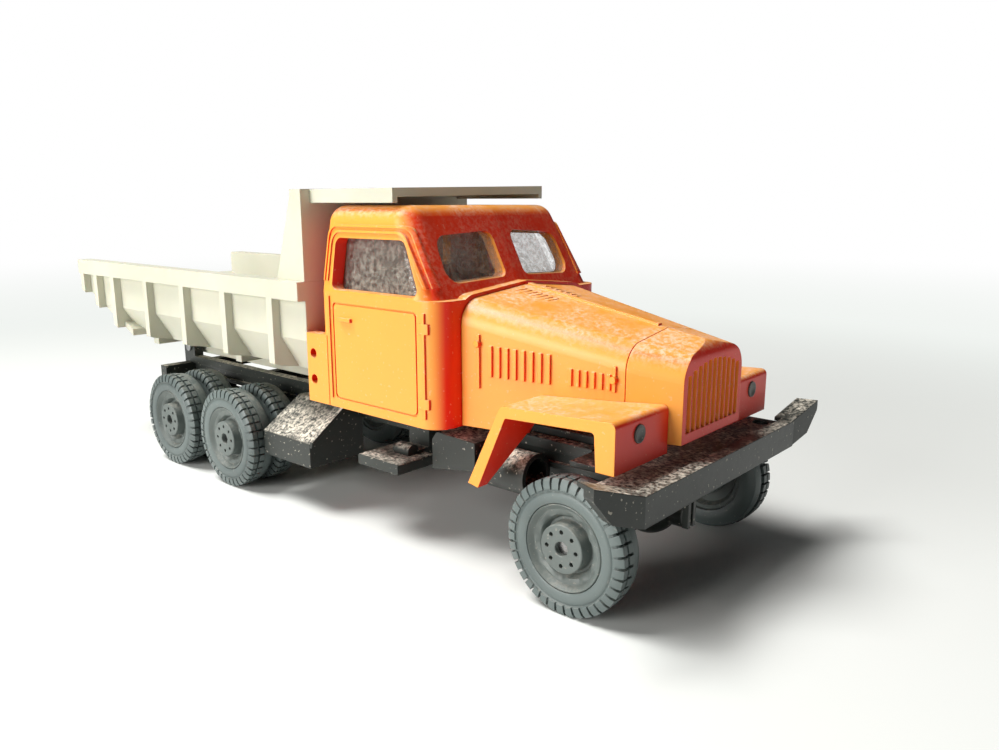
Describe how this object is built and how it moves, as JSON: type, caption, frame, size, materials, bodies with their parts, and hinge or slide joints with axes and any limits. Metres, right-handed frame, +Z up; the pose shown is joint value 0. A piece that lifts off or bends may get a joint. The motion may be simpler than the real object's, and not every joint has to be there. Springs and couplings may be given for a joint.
{
  "type": "toy dump truck",
  "caption": "Small plastic toy tipper truck: bonneted cab, rolling wheelsets on steel pins, and a ribbed body with a canopy that tips up at its rear pivot.",
  "frame": {"origin": "on the ground under the middle of the whole truck", "axes": "+X toward the front bumper, +Y to the truck's left, +Z up"},
  "size_m": [0.0912, 0.0344, 0.0329],
  "materials": {
    "cab_orange": "glossy moulded plastic, dusty in corners",
    "bed_beige": "semi-matt moulded plastic",
    "chassis_black": "semi-matt moulded plastic with dust on top faces",
    "tyre": "soft satin black",
    "rim": "satin black",
    "axle_pin": "dull wire",
    "glazing": "clear grey moulding with dust",
    "interior": "matt black",
    "lamp": "dark silver"
  },
  "bodies": {
    "chassis": {"front_suspension": "chassis_black", "bogie_suspension": "chassis_black", "chassis_frame": "chassis_black", "front_bumper": "chassis_black", "tow_pins": "chassis_black", "gearbox": "chassis_black", "side_block_right": "chassis_black", "air_tank_right": "chassis_black", "step_right": "chassis_black", "step_left": "chassis_black", "tool_box_right": "chassis_black", "tool_box_left": "chassis_black", "pivot_pin": "axle_pin", "cab_shell": "cab_orange", "bonnet": "cab_orange", "radiator_shell": "cab_orange", "fender_right": "cab_orange", "fender_left": "cab_orange", "cab_glazing": "glazing", "cab_interior": "interior", "headlight_right": "lamp", "headlight_left": "lamp"},
    "front_wheelset": {"front_tyre_right": "tyre", "front_rim_right": "rim", "front_tyre_left": "tyre", "front_rim_left": "rim", "front_axle_pin": "axle_pin"},
    "mid_wheelset": {"mid_tyre_outer_right": "tyre", "mid_tyre_inner_right": "tyre", "mid_rim_right": "rim", "mid_tyre_outer_left": "tyre", "mid_tyre_inner_left": "tyre", "mid_rim_left": "rim", "mid_axle_pin": "axle_pin"},
    "rear_wheelset": {"rear_tyre_outer_right": "tyre", "rear_tyre_inner_right": "tyre", "rear_rim_right": "rim", "rear_tyre_outer_left": "tyre", "rear_tyre_inner_left": "tyre", "rear_rim_left": "rim", "rear_axle_pin": "axle_pin"},
    "tipper_body": {"bed_tub": "bed_beige", "bed_headboard": "bed_beige", "bed_subframe": "bed_beige"}
  },
  "joints": [
    {"name": "front_wheels_spin", "type": "hinge", "parent": "chassis", "child": "front_wheelset", "pos_m": [0.03786, 0, 0.0055], "axis": [0, 1, 0], "continuous": true},
    {"name": "mid_wheels_spin", "type": "hinge", "parent": "chassis", "child": "mid_wheelset", "pos_m": [-0.00814, 0, 0.0055], "axis": [0, 1, 0], "continuous": true},
    {"name": "rear_wheels_spin", "type": "hinge", "parent": "chassis", "child": "rear_wheelset", "pos_m": [-0.02054, 0, 0.0055], "axis": [0, 1, 0], "continuous": true},
    {"name": "body_tip", "type": "hinge", "parent": "chassis", "child": "tipper_body", "pos_m": [-0.02964, 0, 0.0124], "axis": [0, -1, 0], "range_deg": [0, 50]}
  ]
}
